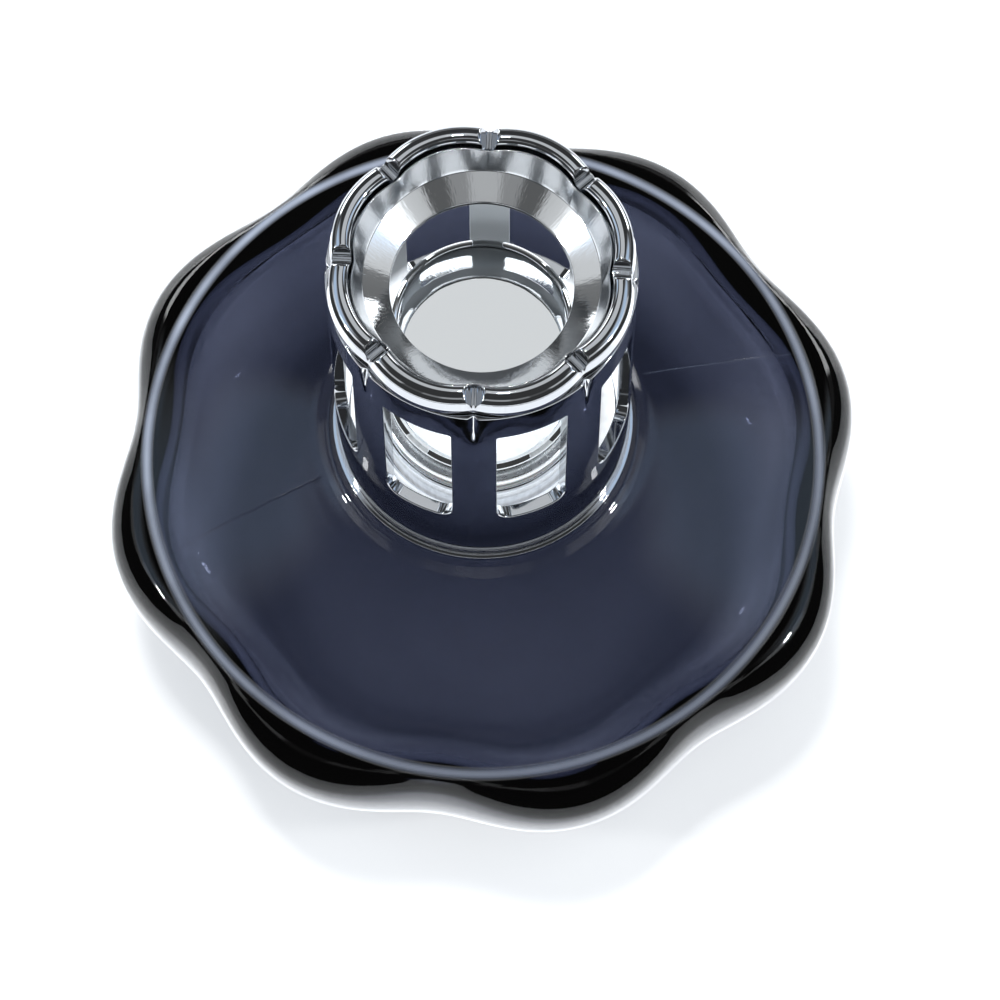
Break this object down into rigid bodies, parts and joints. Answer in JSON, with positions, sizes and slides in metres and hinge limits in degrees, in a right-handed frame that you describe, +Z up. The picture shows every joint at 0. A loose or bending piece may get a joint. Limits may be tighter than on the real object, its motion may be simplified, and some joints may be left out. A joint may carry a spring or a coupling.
{
  "type": "catalytic fragrance lamp",
  "caption": "Lobed dark blue glass bottle with a lift-out catalytic burner and wick, a chromed snuffer cap and a pierced, notched chromed crown.",
  "frame": {"origin": "centre of the bottle's foot ring, on the surface it stands on", "axes": "+Z up along the bottle's axis; +X and +Y through two posts of the crown, -Y towards the front"},
  "size_m": [0.0972, 0.0972, 0.097],
  "materials": {
    "bottle_glass": "thick clear-blue moulded glass, polished",
    "collar_metal": "polished plating",
    "gasket": "translucent white silicone",
    "ferrule_metal": "satin plating",
    "stone": "unglazed porous ceramic",
    "catalyst": "dark porous coating",
    "core_metal": "turned brass",
    "sleeve_metal": "drawn brass",
    "cotton": "braided cotton",
    "snuffer_metal": "mirror plating",
    "liner": "moulded",
    "seal": "translucent white silicone",
    "crown_metal": "mirror plating on die-cast zinc",
    "guide": "moulded",
    "funnel_metal": "bright plating over a fine grain"
  },
  "bodies": {
    "bottle": {"glass_bottle": "bottle_glass", "neck_collar": "collar_metal"},
    "burner": {"burner_gasket": "gasket", "burner_ferrule": "ferrule_metal", "burner_stone": "stone", "catalyst_ring": "catalyst", "burner_core": "core_metal", "wick_sleeve": "sleeve_metal", "wick": "cotton"},
    "snuffer": {"snuffer_shell": "snuffer_metal", "snuffer_liner": "liner", "snuffer_seal": "seal"},
    "crown": {"crown_band": "crown_metal", "crown_guide": "guide", "crown_shell": "crown_metal", "crown_funnel": "funnel_metal", "crown_bezel": "crown_metal"}
  },
  "joints": [
    {"name": "burner_lift", "type": "slide", "parent": "bottle", "child": "burner", "axis": [0, 0, 1], "range_m": [0, 0.06]},
    {"name": "snuffer_lift", "type": "slide", "parent": "burner", "child": "snuffer", "axis": [0, 0, 1], "range_m": [0, 0.035]},
    {"name": "crown_lift", "type": "slide", "parent": "snuffer", "child": "crown", "axis": [0, 0, 1], "range_m": [0, 0.045]}
  ]
}
